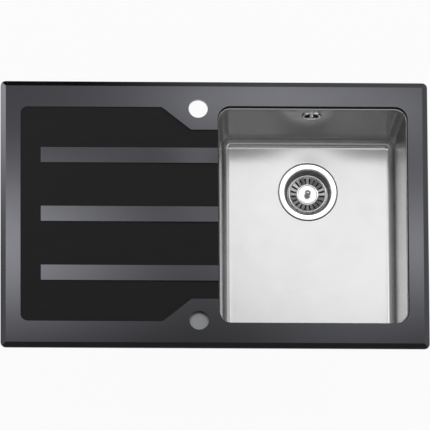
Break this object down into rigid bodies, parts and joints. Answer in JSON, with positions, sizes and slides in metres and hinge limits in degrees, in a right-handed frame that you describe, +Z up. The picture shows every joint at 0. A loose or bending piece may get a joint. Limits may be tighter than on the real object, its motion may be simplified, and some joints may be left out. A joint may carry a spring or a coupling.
{
  "type": "inset kitchen sink",
  "caption": "Inset kitchen sink: black bevelled glass panel with a milled drainer, a square drawn steel bowl, basket strainer waste, piped overflow and worktop clamps.",
  "frame": {"origin": "centre of the seat plane, where the rim seal's underside meets the worktop", "axes": "+X to the right of the panel (the bowl's end), +Y to the back (tap side), +Z up out of the worktop"},
  "size_m": [0.78, 0.5, 0.2675],
  "materials": {
    "panel_glass": "black toughened glass, polished",
    "adhesive": "matte black silicone",
    "seal_rubber": "matte",
    "plain_steel": "mill finish stainless",
    "bowl_steel": "silky brushed stainless",
    "polished_steel": "polished stainless",
    "zinc_steel": "bright zinc plated steel",
    "waste_plastic": "moulded polypropylene",
    "hose_plastic": "corrugated polyethylene",
    "damping_pad": "matte butyl sheet"
  },
  "bodies": {
    "sink": {"glass_top": "panel_glass", "glass_bond": "adhesive", "rim_seal": "seal_rubber", "carrier_sheet": "plain_steel", "carrier_edge": "plain_steel", "bowl": "bowl_steel", "sound_pads": "damping_pad", "overflow_rose": "polished_steel", "overflow_screw": "polished_steel", "overflow_gasket": "seal_rubber", "overflow_elbow": "waste_plastic", "hose_nut_upper": "waste_plastic", "overflow_hose": "hose_plastic", "hose_nut_lower": "waste_plastic", "strainer_cup": "polished_steel", "waste_top_gasket": "seal_rubber", "waste_low_gasket": "seal_rubber", "waste_body": "waste_plastic", "waste_outlet": "waste_plastic", "waste_bolt": "plain_steel", "clamp_brackets": "zinc_steel"},
    "strainer_basket": {"basket": "polished_steel", "basket_seal": "seal_rubber", "basket_knob": "polished_steel", "basket_spindle": "plain_steel"},
    "screw_1": {"clamp_screw_1": "zinc_steel"},
    "claw_1": {"clamp_claw_1": "zinc_steel"},
    "screw_2": {"clamp_screw_2": "zinc_steel"},
    "claw_2": {"clamp_claw_2": "zinc_steel"},
    "screw_3": {"clamp_screw_3": "zinc_steel"},
    "claw_3": {"clamp_claw_3": "zinc_steel"},
    "screw_4": {"clamp_screw_4": "zinc_steel"},
    "claw_4": {"clamp_claw_4": "zinc_steel"},
    "screw_5": {"clamp_screw_5": "zinc_steel"},
    "claw_5": {"clamp_claw_5": "zinc_steel"},
    "screw_6": {"clamp_screw_6": "zinc_steel"},
    "claw_6": {"clamp_claw_6": "zinc_steel"},
    "screw_7": {"clamp_screw_7": "zinc_steel"},
    "claw_7": {"clamp_claw_7": "zinc_steel"},
    "screw_8": {"clamp_screw_8": "zinc_steel"},
    "claw_8": {"clamp_claw_8": "zinc_steel"}
  },
  "joints": [
    {"name": "basket_lift", "type": "slide", "parent": "sink", "child": "strainer_basket", "axis": [0, 0, 1], "range_m": [0, 0.24]},
    {"name": "screw_1_raise", "type": "slide", "parent": "sink", "child": "screw_1", "axis": [0, 0, 1], "range_m": [0, 0.017]},
    {"name": "claw_1_swing", "type": "hinge", "parent": "screw_1", "child": "claw_1", "pos_m": [-0.28, 0.223, -0.056], "axis": [0, 0, 1], "range_deg": [0, 90]},
    {"name": "screw_2_raise", "type": "slide", "parent": "sink", "child": "screw_2", "axis": [0, 0, 1], "range_m": [0, 0.017]},
    {"name": "claw_2_swing", "type": "hinge", "parent": "screw_2", "child": "claw_2", "pos_m": [0.03, 0.223, -0.056], "axis": [0, 0, 1], "range_deg": [0, 90]},
    {"name": "screw_3_raise", "type": "slide", "parent": "sink", "child": "screw_3", "axis": [0, 0, 1], "range_m": [0, 0.017]},
    {"name": "claw_3_swing", "type": "hinge", "parent": "screw_3", "child": "claw_3", "pos_m": [0.3, 0.223, -0.056], "axis": [0, 0, 1], "range_deg": [0, 90]},
    {"name": "screw_4_raise", "type": "slide", "parent": "sink", "child": "screw_4", "axis": [0, 0, 1], "range_m": [0, 0.017]},
    {"name": "claw_4_swing", "type": "hinge", "parent": "screw_4", "child": "claw_4", "pos_m": [0.363, 0, -0.056], "axis": [0, 0, 1], "range_deg": [0, 90]},
    {"name": "screw_5_raise", "type": "slide", "parent": "sink", "child": "screw_5", "axis": [0, 0, 1], "range_m": [0, 0.017]},
    {"name": "claw_5_swing", "type": "hinge", "parent": "screw_5", "child": "claw_5", "pos_m": [0.3, -0.223, -0.056], "axis": [0, 0, 1], "range_deg": [0, 90]},
    {"name": "screw_6_raise", "type": "slide", "parent": "sink", "child": "screw_6", "axis": [0, 0, 1], "range_m": [0, 0.017]},
    {"name": "claw_6_swing", "type": "hinge", "parent": "screw_6", "child": "claw_6", "pos_m": [0.03, -0.223, -0.056], "axis": [0, 0, 1], "range_deg": [0, 90]},
    {"name": "screw_7_raise", "type": "slide", "parent": "sink", "child": "screw_7", "axis": [0, 0, 1], "range_m": [0, 0.017]},
    {"name": "claw_7_swing", "type": "hinge", "parent": "screw_7", "child": "claw_7", "pos_m": [-0.28, -0.223, -0.056], "axis": [0, 0, 1], "range_deg": [0, 90]},
    {"name": "screw_8_raise", "type": "slide", "parent": "sink", "child": "screw_8", "axis": [0, 0, 1], "range_m": [0, 0.017]},
    {"name": "claw_8_swing", "type": "hinge", "parent": "screw_8", "child": "claw_8", "pos_m": [-0.363, 0, -0.056], "axis": [0, 0, 1], "range_deg": [0, 90]}
  ]
}
